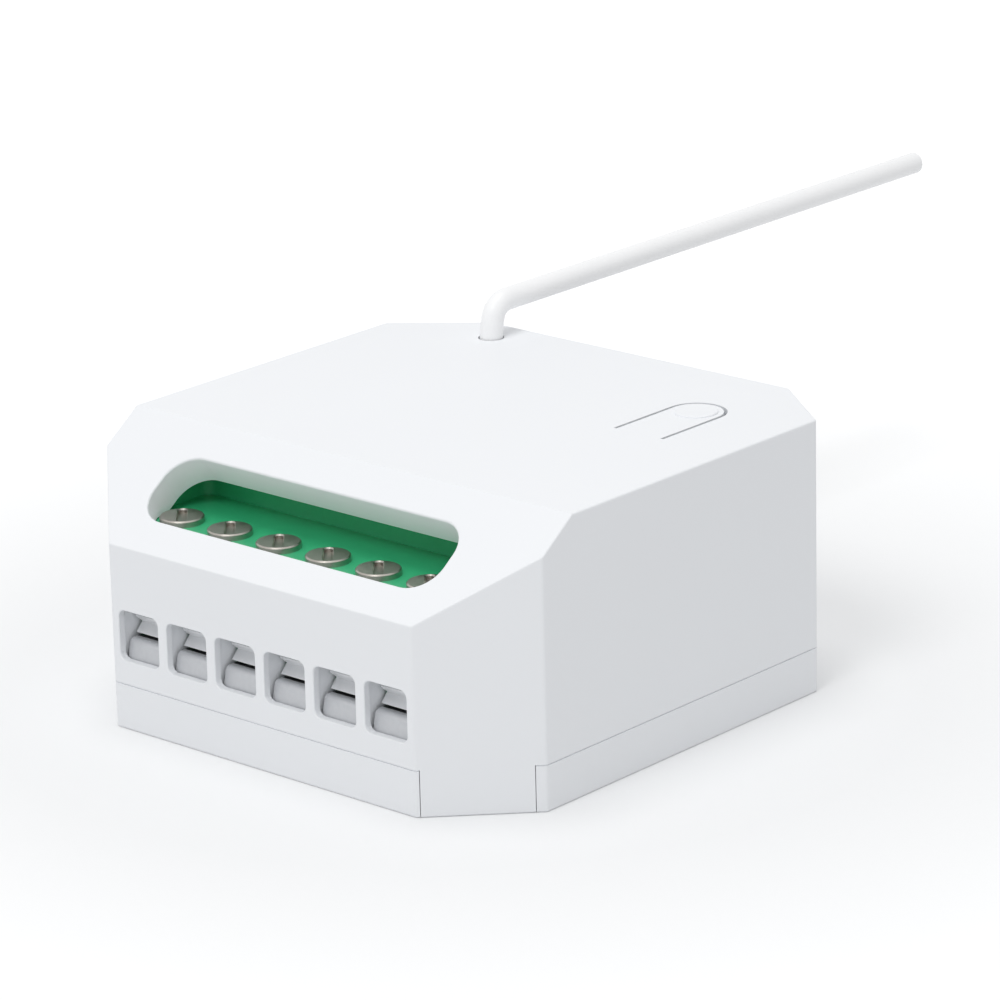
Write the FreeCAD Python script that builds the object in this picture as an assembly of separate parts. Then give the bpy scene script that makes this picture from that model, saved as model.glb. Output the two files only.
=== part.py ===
import FreeCAD, Part
import math
import os
from FreeCAD import Vector

# Flush-mount radio receiver with six screw terminals, a pairing button and a wire antenna.
# Millimetres. +Z up, the front with the wire entries faces -Y, the origin is at the middle
# of the underside.

# Housing outside
WIDTH = 43.8
DEPTH = 43.4
HEIGHT = 21.7
FRONT_CHAMFER = 6.7
BACK_CHAMFER_X = 6.7
BACK_CHAMFER_Y = 5.2
SLOPE_FOOT = 14.55
SLOPE_RUN = 10.0
EDGE_ROUND = 0.45
CREASE_ROUND = 0.15
# Housing walls and joint between shell and base
WALL = 1.3
ROOF = 1.4
SEAM_HEIGHT = 3.65
SEAM_CHAMFER = 0.1
BASE_FLOOR = 1.1
BASE_WALL = 0.9
TAB_THICK = 1.3
TAB_GAP = 0.05
TAB_TRIM_FACE = 0.35
TAB_TRIM_SIDE = 0.85
SNAP_LENGTH = 3.6
SNAP_PROUD = 0.35
SNAP_HEIGHT = 0.7
SNAP_MIDDLE = 2.1
TONGUE_LENGTH = 5.0
TONGUE_THICK = 0.8
TONGUE_RISE = 1.1
TONGUE_SIDES = (-7.8, 6.9)
TONGUE_REAR = (-7.0, 7.0)
FIT_GAP = 0.1
# How far pieces of one solid reach into each other where they are joined
BITE = 0.2
# How far a cutting piece reaches past what it cuts
PAST = 1.0
# Two coordinates closer than this are the same
TINY = 1e-6
# Terminals
POLES = 6
PITCH = 5.0
ENTRY_WIDTH = 4.1
ENTRY_BOTTOM = 5.5
ENTRY_HEIGHT = 4.0
ENTRY_CORNER = 0.6
ENTRY_EDGE = 0.06
LIP = 0.6
BAY_WIDTH = 4.4
BAY_DEPTH = 2.5
BAY_HEADROOM = 0.1
BAY_ROOF = 0.8
BLOCK_FRONT = 2.6
BLOCK_TOP = 15.5
BLOCK_DEPTH = 9.6
BLOCK_WIDTH = 33.0
PIT_BACK = 11.2
PIT_CORNER = 1.0
RIM_HEIGHT = 3.2
SCREW_BACK = 5.1
SCREW_RADIUS = 1.25
SCREW_PITCH = 0.45
SCREW_TIP = 0.3
HEAD_RADIUS = 1.7
HEAD_HEIGHT = 0.5
HEAD_BEVEL = 0.1
SLOT_WIDTH = 0.62
SLOT_DEPTH = 0.32
SLOT_LENGTH = 2.96
SLOT_EDGE = 0.1
SLOT_CORNER = 0.3
SLOT_TURN = 41.7
RUN_GAP = 0.05
HOLE_GAP = 0.1
CAGE_WIDTH = 3.9
CAGE_WALL = 0.5
CAGE_DEPTH = 4.0
CAGE_TOP = 1.6
JAW_FACE = 1.05
JAW_FOOT = 0.7
JAW_HEIGHT = 1.7
JAW_PLATE = 1.0
JAW_ROUND = 0.45
JAW_CORNER = 0.4
SLOT_AT_REST = 0.3
CLAMP_TURNS = 4
BAR_BOTTOM = 7.25
BAR_THICK = 0.7
BAR_WIDTH = 2.7
BAR_NOSE = 1.71
BAR_NOTCH = 0.64
BAR_BROW = 0.54
BAR_CROWN = 0.68
BAR_HEAD_BACK = 2.9
BAR_END = 9.2
PIN_THICK = 0.8
PIN_WIDTH = 1.0
# Window over the screws, measured on the slope
WINDOW_WIDTH = 29.2
WINDOW_HEIGHT = 6.15
WINDOW_FOOT = 2.4
WINDOW_CORNER = 2.5
WINDOW_SHIFT = -0.12
WINDOW_ROUND = 0.18
COLLAR_DEPTH = 1.9
COLLAR_WALL = 0.8
# Board and pairing switch
BOARD_THICK = 1.6
BOARD_LIFT = 0.6
BOARD_INSET = 2.4
BOARD_FRONT = 1.3
PAD_RADIUS = 1.2
FRONT_PADS = 5.0
RELAY_PADS = 8.0
SIDE_PAD = 3.4
REAR_PAD = 4.0
TAIL = 0.5
BUTTON_SIDE = 8.45
BUTTON_REAR = 9.1
BUTTON_LENGTH = 6.8
BUTTON_SLOT = 0.28
BUTTON_HALF = 2.11
BUTTON_THICK = 1.1
BUTTON_RELIEF = 0.1
DISC_RADIUS = 1.7
DISC_HEIGHT = 0.14
DISC_ROUND = 0.11
BOSS_RADIUS = 1.0
BOSS_LENGTH = 1.1
SWITCH_SIDE = 6.0
SWITCH_HEIGHT = 3.5
SWITCH_CORNER = 0.5
SWITCH_BORE_DEPTH = 2.2
STEM_RADIUS = 1.75
STEM_BEVEL = 0.25
STEM_TRAVEL = 0.25
LEG_THICK = 0.3
LEG_WIDTH = 0.7
LEG_SPACING = 4.5
LEG_HEIGHT = 1.4
# Antenna
ANTENNA_SIDE = 9.65
ANTENNA_REAR = 3.3
ANTENNA_RADIUS = 0.925
ANTENNA_HOLE = 1.05
ANTENNA_RISE = 2.75
ANTENNA_ELBOW = 1.15
ANTENNA_REACH = 56.0
ANTENNA_PIN_RADIUS = 0.4
# Share of the shorter run that each bend takes
BEND_SHARE = 0.45
# Relays
RELAY_WIDTH = 7.2
RELAY_LENGTH = 18.0
RELAY_HEIGHT = 14.4
RELAYS = 2
RELAY_SIDE = 2.4
RELAY_WALL = 0.6
RELAY_BASE = 1.2
COIL_BACK = 9.0
FLANGE_RADIUS = 2.8
FLANGE_THICK = 0.7
COIL_RADIUS = 2.5
COIL_HEIGHT = 8.6
CORE_RADIUS = 1.1
POLE_RADIUS = 2.2
POLE_THICK = 0.4
YOKE_THICK = 0.8
YOKE_WIDTH = 4.8
YOKE_BACK = 12.3
YOKE_REACH = 7.3
ARMATURE_GAP = 0.6
ARMATURE_THICK = 1.0
ARMATURE_WIDTH = 4.6
ARMATURE_REACH = 6.3
ARMATURE_ARM = 3.0
ARM_THICK = 0.6
HINGE_GAP = 0.2
SPRING_THICK = 0.3
SPRING_LENGTH = 6.8
CONTACT_RADIUS = 0.9
CONTACT_THICK = 0.6
CONTACT_GAP = 0.52
CONTACT_EDGE = 0.36
BLADE_THICK = 0.6
BLADE_WIDTH = 2.4
COIL_PIN_RADIUS = 0.35
COIL_PIN_X = 2.0
COIL_PIN_BACK = 3.0
# Power supply and radio
PART_GAP = 0.3
RADIO_REAR = 2.6
RADIO_WIDTH = 9.0
RADIO_LENGTH = 11.5
RADIO_THICK = 0.8
RADIO_PAD_PITCH = 2.0
RADIO_PAD_RADIUS = 0.4
SHIELD_HEIGHT = 2.0
SHIELD_WALL = 0.3
SHIELD_INSET = 0.8
TRANSFORMER_SIDE = 9.0
TRANSFORMER_HEIGHT = 10.0
TRANSFORMER_LIMB = 2.0
TRANSFORMER_FOOT = 1.2
TRANSFORMER_YOKE = 1.4
TRANSFORMER_CORNER = 1.2
TRANSFORMER_PINS = 2.8
MAIN_CAP_SIDE = 2.4
MAIN_CAP_RADIUS = 4.0
MAIN_CAP_HEIGHT = 12.0
MAIN_CAP_LEADS = 3.5
OUTPUT_CAP_SIDE = 14.3
OUTPUT_CAP_REAR = 5.6
OUTPUT_CAP_RADIUS = 2.5
OUTPUT_CAP_HEIGHT = 11.0
OUTPUT_CAP_LEADS = 2.0
GROOVE_HEIGHT = 1.2
GROOVE_SIZE = 0.3
CAN_EDGE = 0.3
FILM_SIDE = 2.4
FILM_WIDTH = 10.0
FILM_THICK = 4.6
FILM_HEIGHT = 9.5
FILM_LEADS = 7.5
FILM_CORNER = 0.5
VARISTOR_SIDE = 6.7
VARISTOR_REAR = 6.2
VARISTOR_RADIUS = 3.5
VARISTOR_THICK = 3.2
VARISTOR_ROUND = 1.0
VARISTOR_LEADS = 2.5
VARISTOR_STEP = 1.2
FUSE_RADIUS = 0.9
FUSE_LENGTH = 6.0
FUSE_ROUND = 0.36
FUSE_LEADS = 8.0
CHIP_SIDE = 9.3
CHIP_REAR = 4.2
CHIP_LENGTH = 5.0
CHIP_WIDTH = 2.4
CHIP_HEIGHT = 1.5
CHIP_LEG = 0.45
CHIP_LEG_WIDTH = 0.4
CHIP_LEG_THICK = 0.3
CHIP_LEG_PITCH = 1.27
CHIP_LEGS = 4
CHIP_EDGE = 0.15
LEAD_RADIUS = 0.3
LEAD_LIFT = 0.6

# Worked out from the sizes above
FRONT = -DEPTH / 2
SLOPE_ANGLE = math.atan2(HEIGHT - SLOPE_FOOT, SLOPE_RUN)
CEILING = HEIGHT - ROOF
BOARD_BOTTOM = BASE_FLOOR + BOARD_LIFT
BOARD_TOP = BOARD_BOTTOM + BOARD_THICK
ENTRY_TOP = ENTRY_BOTTOM + ENTRY_HEIGHT
BAY_TOP = ENTRY_TOP + BAY_HEADROOM
JAW_TOP = BAR_BOTTOM - SLOT_AT_REST
JAW_BOTTOM = JAW_TOP - JAW_HEIGHT
BAR_TOP = BAR_BOTTOM + BAR_THICK
CLAMP_TRAVEL = CLAMP_TURNS * SCREW_PITCH
CAGE_FRONT = SCREW_BACK - CAGE_DEPTH / 2
CAGE_BACK = SCREW_BACK + CAGE_DEPTH / 2
CAGE_PLATE = BAR_TOP + CLAMP_TRAVEL + RUN_GAP * 3
CAGE_CEILING = CAGE_PLATE + CAGE_TOP + SLOT_AT_REST + HOLE_GAP
POLE_X = [(i - (POLES - 1) / 2) * PITCH for i in range(POLES)]
TAIL_BOTTOM = BOARD_BOTTOM - TAIL
BUTTON_X = WIDTH / 2 - BUTTON_SIDE
BUTTON_CENTRE = DEPTH - BUTTON_REAR
BUTTON_ROOT = BUTTON_CENTRE - BUTTON_LENGTH
ANTENNA_X = ANTENNA_SIDE - WIDTH / 2
ANTENNA_BACK = DEPTH - ANTENNA_REAR
BLOCK_END = BLOCK_FRONT + BLOCK_DEPTH
RELAY_BACK = BLOCK_END + PART_GAP
RELAY_STEP = RELAY_WIDTH + PART_GAP
RELAY_X = [RELAY_SIDE + RELAY_WIDTH / 2 + i * RELAY_STEP - WIDTH / 2 for i in range(RELAYS)]
FILM_X = WIDTH / 2 - FILM_SIDE - FILM_WIDTH / 2
MIDDLE_X = (RELAY_X[-1] + RELAY_WIDTH / 2 + FILM_X - FILM_WIDTH / 2) / 2
TRANSFORMER_GAP = (TRANSFORMER_SIDE - 3 * TRANSFORMER_LIMB) / 2
TRANSFORMER_END = TRANSFORMER_LIMB + TRANSFORMER_GAP + TRANSFORMER_FOOT
TRANSFORMER_BACK = BLOCK_END + PART_GAP + TRANSFORMER_END
FUSE_BACK = TRANSFORMER_BACK + TRANSFORMER_END + PART_GAP + FUSE_RADIUS
RADIO_BACK = DEPTH - RADIO_REAR - RADIO_LENGTH / 2
MAIN_CAP_X = WIDTH / 2 - MAIN_CAP_SIDE - MAIN_CAP_RADIUS
MAIN_CAP_BACK = BLOCK_END + PART_GAP + MAIN_CAP_RADIUS
FILM_BACK = MAIN_CAP_BACK + MAIN_CAP_RADIUS + PART_GAP + FILM_THICK / 2
OUTPUT_CAP_X = OUTPUT_CAP_SIDE - WIDTH / 2
OUTPUT_CAP_BACK = DEPTH - OUTPUT_CAP_REAR
VARISTOR_X = VARISTOR_SIDE - WIDTH / 2
VARISTOR_BACK = DEPTH - VARISTOR_REAR
CHIP_X = WIDTH / 2 - CHIP_SIDE
CHIP_BACK = DEPTH - CHIP_REAR
PINS = []


def back(distance):
    return FRONT + distance


def box(x0, x1, y0, y1, z0, z1):
    return Part.makeBox(x1 - x0, y1 - y0, z1 - z0, Vector(x0, y0, z0))


def plug(x, y, z0, z1, radius):
    return Part.makeCylinder(radius, z1 - z0, Vector(x, y, z0))


def slab(points, direction):
    loop = [Vector(*p) for p in points]
    return Part.Face(Part.makePolygon(loop + loop[:1])).extrude(Vector(*direction))


def one(shape):
    """The single solid of a result, with faces that lie in one plane joined."""
    return shape.removeSplitter().Solids[0]


def several(shapes):
    return Part.makeCompound(shapes)


def pin(x, y, half_x, half_y, top):
    """A solder pin through the board; the board gets a hole for it."""
    PINS.append((x, y, half_x, half_y))
    return box(x - half_x, x + half_x, y - half_y, y + half_y, TAIL_BOTTOM, top)


# Outline of the housing seen from above, from the front left corner and on to the right
def outline():
    w, d = WIDTH / 2, DEPTH / 2
    right = [
        (w - FRONT_CHAMFER, -d),
        (w, -d + FRONT_CHAMFER),
        (w, d - BACK_CHAMFER_Y),
        (w - BACK_CHAMFER_X, d),
    ]
    return right + [(-x, y) for x, y in reversed(right)]


def inset_outline(inset, front_inset=None):
    """The outline moved inwards; the front edge may have its own distance."""
    points, sides = outline(), []
    for i, (x, y) in enumerate(points):
        nx, ny = points[(i + 1) % len(points)]
        run = math.hypot(nx - x, ny - y)
        in_x, in_y = (y - ny) / run, (nx - x) / run
        own = inset if front_inset is None or abs(ny - y) > 0 or y > 0 else front_inset
        sides.append((in_x, in_y, in_x * x + in_y * y + own))
    corners = []
    for i, (a, b, c) in enumerate(sides):
        d, e, f = sides[i - 1]
        det = a * e - b * d
        corners.append(((c * e - b * f) / det, (a * f - c * d) / det))
    return corners


def prism(inset, z0, z1, front_inset=None):
    points = [(x, y, z0) for x, y in inset_outline(inset, front_inset)]
    return slab(points, (0, 0, z1 - z0))


def above_slope(depth):
    """Everything above the sloped front, or above a plane that lies depth under it."""
    drop = depth / math.cos(SLOPE_ANGLE)
    rise = math.tan(SLOPE_ANGLE)
    reach = SLOPE_RUN * 3
    low, high = SLOPE_FOOT - drop - rise * reach, SLOPE_FOOT - drop + rise * reach
    side = WIDTH
    points = [(-side, back(-reach), low), (-side, back(reach), high), (-side, back(-reach), high)]
    return slab(points, (2 * side, 0, 0))


def body():
    """The whole housing as one block, its upright edges softer than its creases."""

    def is_upright(edge):
        return edge.BoundBox.XLength + edge.BoundBox.YLength < TINY

    raw = prism(0, 0, HEIGHT).cut(above_slope(0))
    soft = raw.makeFillet(EDGE_ROUND, [e for e in raw.Edges if is_upright(e)])
    return soft.makeFillet(CREASE_ROUND, [e for e in soft.Edges if not is_upright(e)])


def room(gap):
    """The space inside the walls, less a gap all round."""
    space = prism(WALL + gap, -PAST, CEILING - gap)
    return space.cut(above_slope(WALL + gap))


def corners():
    """Each chamfer: its end on the front or back face, and its end on the side wall."""
    p = outline()
    return [(p[0], p[1]), (p[3], p[2]), (p[4], p[5]), (p[7], p[6])]


def corner_block(corner, start, end, outer, inner, z0, z1):
    """A block along a chamfer: start and end are trimmed off, outer and inner are depths."""
    (x0, y0), (x1, y1) = corner
    run = math.hypot(x1 - x0, y1 - y0)
    tx, ty = (x1 - x0) / run, (y1 - y0) / run
    nx, ny = ty, -tx
    if nx * x0 + ny * y0 < 0:
        nx, ny = -nx, -ny
    ends = [(start, outer), (run - end, outer), (run - end, inner), (start, inner)]
    points = [(x0 + tx * t - nx * d, y0 + ty * t - ny * d, z0) for t, d in ends]
    return slab(points, (0, 0, z1 - z0))


def tabs(gap):
    """The shell's tongues in the four corners, down to the underside, grown by a gap."""
    start, end, deep = TAB_TRIM_FACE - gap, TAB_TRIM_SIDE - gap, TAB_THICK + gap
    top = SEAM_HEIGHT + BITE
    return [corner_block(c, start, end, -PAST, deep, -PAST, top) for c in corners()]


def snaps(gap):
    """The beads of the base cover that click into the tabs, or their grooves with a gap."""
    made = []
    for corner in corners():
        (x0, y0), (x1, y1) = corner
        side = (math.hypot(x1 - x0, y1 - y0) - SNAP_LENGTH) / 2 - gap
        outer = TAB_THICK + TAB_GAP - SNAP_PROUD - gap
        low = SNAP_MIDDLE - SNAP_HEIGHT / 2 - gap
        high = SNAP_MIDDLE + SNAP_HEIGHT / 2 + gap
        made.append(corner_block(corner, side, side, outer, TAB_THICK + TAB_GAP * 2, low, high))
    return made


# Openings of the upper shell
def rounded_bar(width, height, corner, length):
    """A bar with a rounded rectangle for a section, along Z from zero down."""
    raw = box(-width / 2, width / 2, -height / 2, height / 2, -length, 0)
    upright = [e for e in raw.Edges if abs(e.BoundBox.ZLength - length) < TINY]
    return raw.makeFillet(corner, upright)


def flared(width, height, corner, length, edge):
    """The bar again, with its upper end widened by a small bevel."""
    core = rounded_bar(width, height, corner, length)
    core.translate(Vector(0, 0, length / 2))
    steps = []
    for z, grow in ((0, edge), (-edge, 0)):
        ring = rounded_bar(width + 2 * grow, height + 2 * grow, corner + grow, PAST)
        face = max(ring.Faces, key=lambda f: f.CenterOfMass.z)
        wire = face.OuterWire.copy()
        wire.translate(Vector(0, 0, z))
        steps.append(wire)
    return core.fuse(Part.makeLoft(steps, True, True))


def on_front(shape, x, z):
    shape.rotate(Vector(), Vector(1, 0, 0), 90)
    shape.translate(Vector(x, FRONT, z))
    return shape


def on_slope(shape):
    """Turn a shape made round the Z axis onto the slope, at the window's middle."""
    middle = WINDOW_HEIGHT / 2
    foot = SLOPE_FOOT + WINDOW_FOOT * math.tan(SLOPE_ANGLE)
    shape.rotate(Vector(), Vector(1, 0, 0), math.degrees(SLOPE_ANGLE))
    y = back(WINDOW_FOOT + middle * math.cos(SLOPE_ANGLE))
    shape.translate(Vector(WINDOW_SHIFT, y, foot + middle * math.sin(SLOPE_ANGLE)))
    return shape


def entries():
    middle = ENTRY_BOTTOM + ENTRY_HEIGHT / 2
    cuts = []
    for x in POLE_X:
        hole = flared(ENTRY_WIDTH, ENTRY_HEIGHT, ENTRY_CORNER, LIP * 4, ENTRY_EDGE)
        cuts.append(on_front(hole, x, middle))
        half = BAY_WIDTH / 2
        cuts.append(box(x - half, x + half, back(LIP), back(BAY_DEPTH + PAST), 0, BAY_TOP))
    return cuts


def entry_block():
    half = (POLES * PITCH) / 2 + (PITCH - BAY_WIDTH) / 2
    raw = box(-half, half, back(LIP), back(BAY_DEPTH), SEAM_HEIGHT, BAY_TOP + BAY_ROOF)
    return raw.common(prism(LIP, 0, HEIGHT))


def collar():
    grow = 2 * COLLAR_WALL
    ring = rounded_bar(
        WINDOW_WIDTH + grow, WINDOW_HEIGHT + grow, WINDOW_CORNER + COLLAR_WALL, COLLAR_DEPTH
    )
    ring = on_slope(ring)
    ring.translate(Vector(0, math.sin(SLOPE_ANGLE), -math.cos(SLOPE_ANGLE)) * (WALL / 2))
    low = BLOCK_TOP + FIT_GAP
    return ring.common(box(-WIDTH, WIDTH, FRONT, 0, low, HEIGHT)).common(prism(WALL / 2, 0, HEIGHT))


def window():
    hole = rounded_bar(WINDOW_WIDTH, WINDOW_HEIGHT, WINDOW_CORNER, HEIGHT)
    hole.translate(Vector(0, 0, HEIGHT / 2))
    return on_slope(hole)


def window_rim(shell):
    """The window's edges in the plane of the slope."""
    foot = Vector(0, FRONT, SLOPE_FOOT)
    normal = Vector(0, -math.sin(SLOPE_ANGLE), math.cos(SLOPE_ANGLE))
    reach = WINDOW_WIDTH / 2 + abs(WINDOW_SHIFT) + BITE

    def on_rim(point):
        return abs((point - foot).dot(normal)) < TINY and abs(point.x) < reach

    return [e for e in shell.Edges if all(on_rim(v.Point) for v in e.Vertexes)]


def tongue_plan(half, z0, z1):
    """The button's outline: straight sides from its root and a half round tip."""
    y = back(BUTTON_CENTRE)
    straight = box(BUTTON_X - half, BUTTON_X + half, back(BUTTON_ROOT), y, z0, z1)
    return straight.fuse(plug(BUTTON_X, y, z0, z1, half)).removeSplitter()


def upper_shell():
    whole = body()
    upper = whole.common(box(-WIDTH, WIDTH, -DEPTH, DEPTH, SEAM_HEIGHT, HEIGHT + PAST))
    shell = upper.cut(room(0))
    shell = shell.fuse([whole.common(tab).cut(room(0)) for tab in tabs(0)])
    shell = shell.fuse([entry_block(), collar()])
    shell = shell.cut([window()])
    shell = shell.makeFillet(WINDOW_ROUND, window_rim(shell))
    shell = shell.cut(entries() + snaps(FIT_GAP / 2))
    slot = tongue_plan(BUTTON_HALF + BUTTON_SLOT, CEILING - PAST, HEIGHT + PAST)
    hole = plug(ANTENNA_X, back(ANTENNA_BACK), CEILING - PAST, HEIGHT + PAST, ANTENNA_HOLE)
    return one(shell.cut([slot, hole]))


def button_tongue():
    low = HEIGHT - BUTTON_THICK
    plate = tongue_plan(BUTTON_HALF, low, HEIGHT)
    disc = plug(BUTTON_X, back(BUTTON_CENTRE), HEIGHT - BITE, HEIGHT + DISC_HEIGHT, DISC_RADIUS)
    rim = [e for e in disc.Edges if abs(e.CenterOfMass.z - HEIGHT - DISC_HEIGHT) < TINY]
    disc = disc.makeFillet(DISC_ROUND, rim)
    boss = plug(BUTTON_X, back(BUTTON_CENTRE), low - BOSS_LENGTH, low + BITE, BOSS_RADIUS)
    side, half = BUTTON_X - BUTTON_HALF - PAST, BUTTON_HALF + PAST
    root = back(BUTTON_ROOT)
    profile = [(root, HEIGHT), (root + BUTTON_RELIEF, low), (root - PAST, low), (root - PAST, HEIGHT)]
    relief = slab([(side, y, z) for y, z in profile], (2 * half, 0, 0))
    return one(plate.fuse([disc, boss]).cut(relief))


# Base cover
def alignment_tongues():
    """Blocks on the base walls that reach up inside the shell."""
    reach = WALL + FIT_GAP
    half = TONGUE_LENGTH / 2
    top = SEAM_HEIGHT + TONGUE_RISE
    foot = BASE_FLOOR / 2
    made = []
    for y in TONGUE_SIDES:
        for side in (-1, 1):
            wall = side * WIDTH / 2
            deep = wall - side * (reach + TONGUE_THICK)
            low = sorted((wall - side * BASE_WALL / 2, deep))
            high = sorted((wall - side * reach, deep))
            made.append(box(*low, y - half, y + half, foot, SEAM_HEIGHT))
            made.append(box(*high, y - half, y + half, foot, top))
    for x in TONGUE_REAR:
        deep = DEPTH / 2 - reach - TONGUE_THICK
        wall = DEPTH / 2 - BASE_WALL / 2
        made.append(box(x - half, x + half, deep, wall, foot, SEAM_HEIGHT))
        made.append(box(x - half, x + half, deep, DEPTH / 2 - reach, foot, top))
    return made


def board_pads():
    """Round pads that carry the board, where no solder tail comes through."""
    places = [(side * (POLES / 2 - 1) * PITCH, FRONT_PADS) for side in (-1, 1)]
    places += [(x, RELAY_BACK + RELAY_PADS) for x in RELAY_X]
    places += [(MAIN_CAP_X, MAIN_CAP_BACK + SIDE_PAD), (MIDDLE_X, DEPTH - REAR_PAD)]
    return [plug(x, back(y), BASE_FLOOR / 2, BOARD_BOTTOM, PAD_RADIUS) for x, y in places]


def corner_webs(gap, top):
    """The base cover's thicker corners behind the tabs, with a gap."""
    deep = TAB_THICK + TAB_GAP + BASE_WALL + gap
    return [corner_block(c, -WIDTH, -WIDTH, 0, deep, 0, top) for c in corners()]


def base_cover():
    lower = body().common(box(-WIDTH, WIDTH, -DEPTH, DEPTH, -PAST, SEAM_HEIGHT))
    tray = prism(BASE_WALL, BASE_FLOOR, SEAM_HEIGHT + PAST)
    tray = tray.cut(corner_webs(0, SEAM_HEIGHT + PAST))
    cover = lower.cut(tray).cut(tabs(TAB_GAP))
    ring = prism(-PAST, SEAM_HEIGHT - SEAM_CHAMFER, SEAM_HEIGHT + PAST)
    ring = ring.cut(prism(SEAM_CHAMFER, 0, HEIGHT))
    side, low = CAGE_WIDTH / 2 + HOLE_GAP, JAW_BOTTOM - CLAMP_TRAVEL - FIT_GAP
    front, rear = back(JAW_FOOT - HOLE_GAP), back(CAGE_BACK)
    paths = [box(x - side, x + side, front, rear, low, HEIGHT) for x in POLE_X]
    return one(cover.cut([ring] + paths).fuse(alignment_tongues() + board_pads() + snaps(0)))


# Terminal block
def terminal_housing():
    half = BLOCK_WIDTH / 2
    block = box(-half, half, back(BLOCK_FRONT), back(BLOCK_END), BOARD_TOP, BLOCK_TOP + RIM_HEIGHT)
    pit_half = WINDOW_WIDTH / 2 + COLLAR_WALL + HOLE_GAP * 2
    depth = PIT_BACK + DEPTH
    pit = rounded_bar(2 * pit_half, depth, PIT_CORNER, HEIGHT - BLOCK_TOP)
    pit.translate(Vector(WINDOW_SHIFT, back(PIT_BACK) - depth / 2, HEIGHT))
    cuts = [pit]
    pocket = CAGE_WIDTH / 2 + HOLE_GAP
    bar_side, pin_side = BAR_WIDTH / 2 + HOLE_GAP, PIN_WIDTH / 2 + HOLE_GAP
    near, far = back(CAGE_FRONT - HOLE_GAP), back(CAGE_BACK + HOLE_GAP * 2)
    middle, end = back(SCREW_BACK), back(BAR_END + RUN_GAP)
    pin_near = back(BAR_END - PIN_THICK - RUN_GAP)
    for x in POLE_X:
        cuts.append(box(x - pocket, x + pocket, near, far, 0, CAGE_CEILING))
        cuts.append(box(x - pocket, x + pocket, FRONT, middle, 0, BAY_TOP))
        cuts.append(plug(x, middle, BAR_TOP, HEIGHT, SCREW_RADIUS + HOLE_GAP))
        cuts.append(box(x - bar_side, x + bar_side, middle, end, BAR_BOTTOM - RUN_GAP, BAR_TOP + RUN_GAP))
        cuts.append(box(x - pin_side, x + pin_side, pin_near, end, 0, BAR_TOP))
    cuts += corner_webs(FIT_GAP, SEAM_HEIGHT + FIT_GAP)
    return one(block.cut(cuts).common(room(FIT_GAP * 2)))


def terminal_screw(x):
    y = back(SCREW_BACK)
    shank = plug(x, y, BAR_TOP + RUN_GAP, BLOCK_TOP + BITE / 2, SCREW_RADIUS)
    tip = [e for e in shank.Edges if abs(e.CenterOfMass.z - BAR_TOP - RUN_GAP) < TINY]
    shank = shank.makeChamfer(SCREW_TIP, tip)
    head = plug(x, y, BLOCK_TOP, BLOCK_TOP + HEAD_HEIGHT, HEAD_RADIUS)
    rim = [e for e in head.Edges if abs(e.CenterOfMass.z - BLOCK_TOP - HEAD_HEIGHT) < TINY]
    head = head.makeChamfer(HEAD_BEVEL, rim)
    slot = flared(SLOT_WIDTH, SLOT_LENGTH, SLOT_CORNER, 2 * SLOT_DEPTH, SLOT_EDGE)
    slot.rotate(Vector(), Vector(0, 0, 1), SLOT_TURN)
    slot.translate(Vector(x, y, BLOCK_TOP + HEAD_HEIGHT))
    return one(shank.fuse(head).cut(slot))


def clamp_cage(x):
    half = CAGE_WIDTH / 2
    inner = half - CAGE_WALL
    front, rear = back(CAGE_FRONT), back(CAGE_BACK)
    loop = box(x - half, x + half, front, rear, JAW_TOP - JAW_PLATE, CAGE_PLATE + CAGE_TOP)
    hollow = box(x - inner, x + inner, front - PAST, rear + PAST, JAW_TOP, CAGE_PLATE)
    thread = plug(x, back(SCREW_BACK), CAGE_PLATE - PAST, HEIGHT, SCREW_RADIUS + RUN_GAP)
    profile = [
        (back(JAW_FOOT), JAW_BOTTOM),
        (front + BITE, JAW_BOTTOM),
        (front + BITE, JAW_TOP),
        (back(JAW_FACE), JAW_TOP),
    ]
    jaw = slab([(x - half, y, z) for y, z in profile], (2 * half, 0, 0))
    upper = [e for e in jaw.Edges if e.BoundBox.ZMin > JAW_BOTTOM and e.BoundBox.YMax < front]
    jaw = jaw.makeFillet(JAW_ROUND, upper)
    lower = [e for e in jaw.Edges if e.BoundBox.ZMax < JAW_TOP and e.BoundBox.YLength > JAW_CORNER]
    jaw = jaw.makeFillet(JAW_CORNER, lower)
    return one(loop.cut([hollow, thread]).fuse(jaw))


def contact_bar(x):
    half = CAGE_WIDTH / 2
    nose, notch = BAR_NOSE, BAR_NOSE + BAR_NOTCH
    brow, crown = BAR_TOP + BAR_BROW, BAR_TOP + BAR_CROWN
    profile = [
        (nose, BAR_BOTTOM),
        (BAR_HEAD_BACK, BAR_BOTTOM),
        (BAR_HEAD_BACK, crown),
        (nose, crown),
        (nose, brow),
        (notch, BAR_TOP),
    ]
    head = slab([(x - half, back(y), z) for y, z in profile], (2 * half, 0, 0))
    side = BAR_WIDTH / 2
    run = box(x - side, x + side, back(BAR_HEAD_BACK - BITE), back(BAR_END), BAR_BOTTOM, BAR_TOP)
    tail = pin(x, back(BAR_END - PIN_THICK / 2), PIN_WIDTH / 2, PIN_THICK / 2, BAR_BOTTOM + BITE)
    return one(head.fuse([run, tail]))


# Board, switch and antenna
def circuit_board():
    board = prism(BOARD_INSET, BOARD_BOTTOM, BOARD_TOP, BOARD_FRONT)
    holes = [
        box(x - hx - HOLE_GAP, x + hx + HOLE_GAP, y - hy - HOLE_GAP, y + hy + HOLE_GAP, 0, HEIGHT)
        for x, y, hx, hy in PINS
    ]
    return one(board.cut(holes))


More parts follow.
